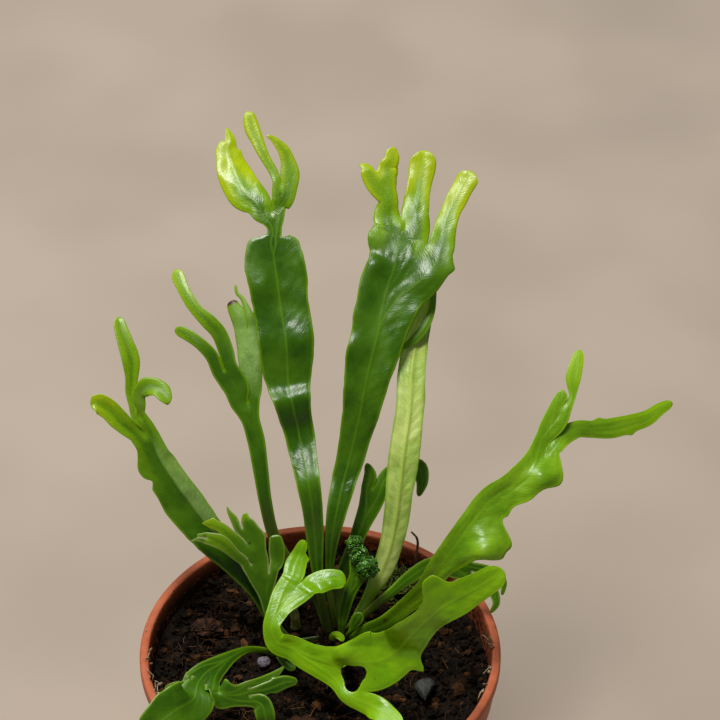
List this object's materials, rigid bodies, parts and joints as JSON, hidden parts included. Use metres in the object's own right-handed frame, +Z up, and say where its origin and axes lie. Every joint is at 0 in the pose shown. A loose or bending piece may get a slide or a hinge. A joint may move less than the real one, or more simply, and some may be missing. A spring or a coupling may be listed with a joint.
{
  "type": "potted crested bird's nest fern",
  "caption": "Small crested bird's nest fern with fork-tipped strap fronds fanning from one crown, in a round tapered terracotta-coloured plastic nursery pot filled with dark soil.",
  "frame": {"origin": "centre of the pot's flat underside", "axes": "+Z up along the pot's axis, -Y towards the side that the plant shows best, +X to the right seen from that side"},
  "size_m": [0.097, 0.0958, 0.1168],
  "materials": {
    "terracotta_plastic": "satin moulded polypropylene",
    "potting_soil": null,
    "rhizome": "dark scaly crown",
    "frond_green": "waxy satin leaf",
    "frond_underside": "pale satin leaf underside",
    "frond_young": "young bright waxy leaf",
    "leaflet_green": "small dark leaf",
    "old_stub": "old cut leaf base, matte",
    "dead_stem": "dry brown stem",
    "seedling_stem": "thin brown stem",
    "grey_stone": "matte grey pebble",
    "pale_stone": "matte pale stone",
    "bark": "rough bark chip",
    "moss": null
  },
  "bodies": {
    "root": {"pot": "terracotta_plastic", "soil": "potting_soil", "crown": "rhizome", "frond_tall_left": "frond_green", "frond_tall_right": "frond_green", "frond_short_back": "frond_green", "frond_low_right": "frond_green", "frond_low_left": "frond_green", "frond_fan": "frond_green", "frond_long_left": "frond_green", "frond_back_left": "frond_green", "frond_crozier": "frond_green", "frond_pale": "frond_underside", "frond_front": "frond_young", "frond_arching": "frond_young", "leaflet_curled": "leaflet_green", "leaflet_round": "leaflet_green", "leaflet_dark": "leaflet_green", "stub_old": "old_stub", "stem_dead": "dead_stem", "seedling": "seedling_stem", "pebble_grey": "grey_stone", "stone_pale": "pale_stone", "bark_left": "bark", "bark_front": "bark", "bark_right": "bark", "moss_patch": "moss"}
  },
  "joints": []
}
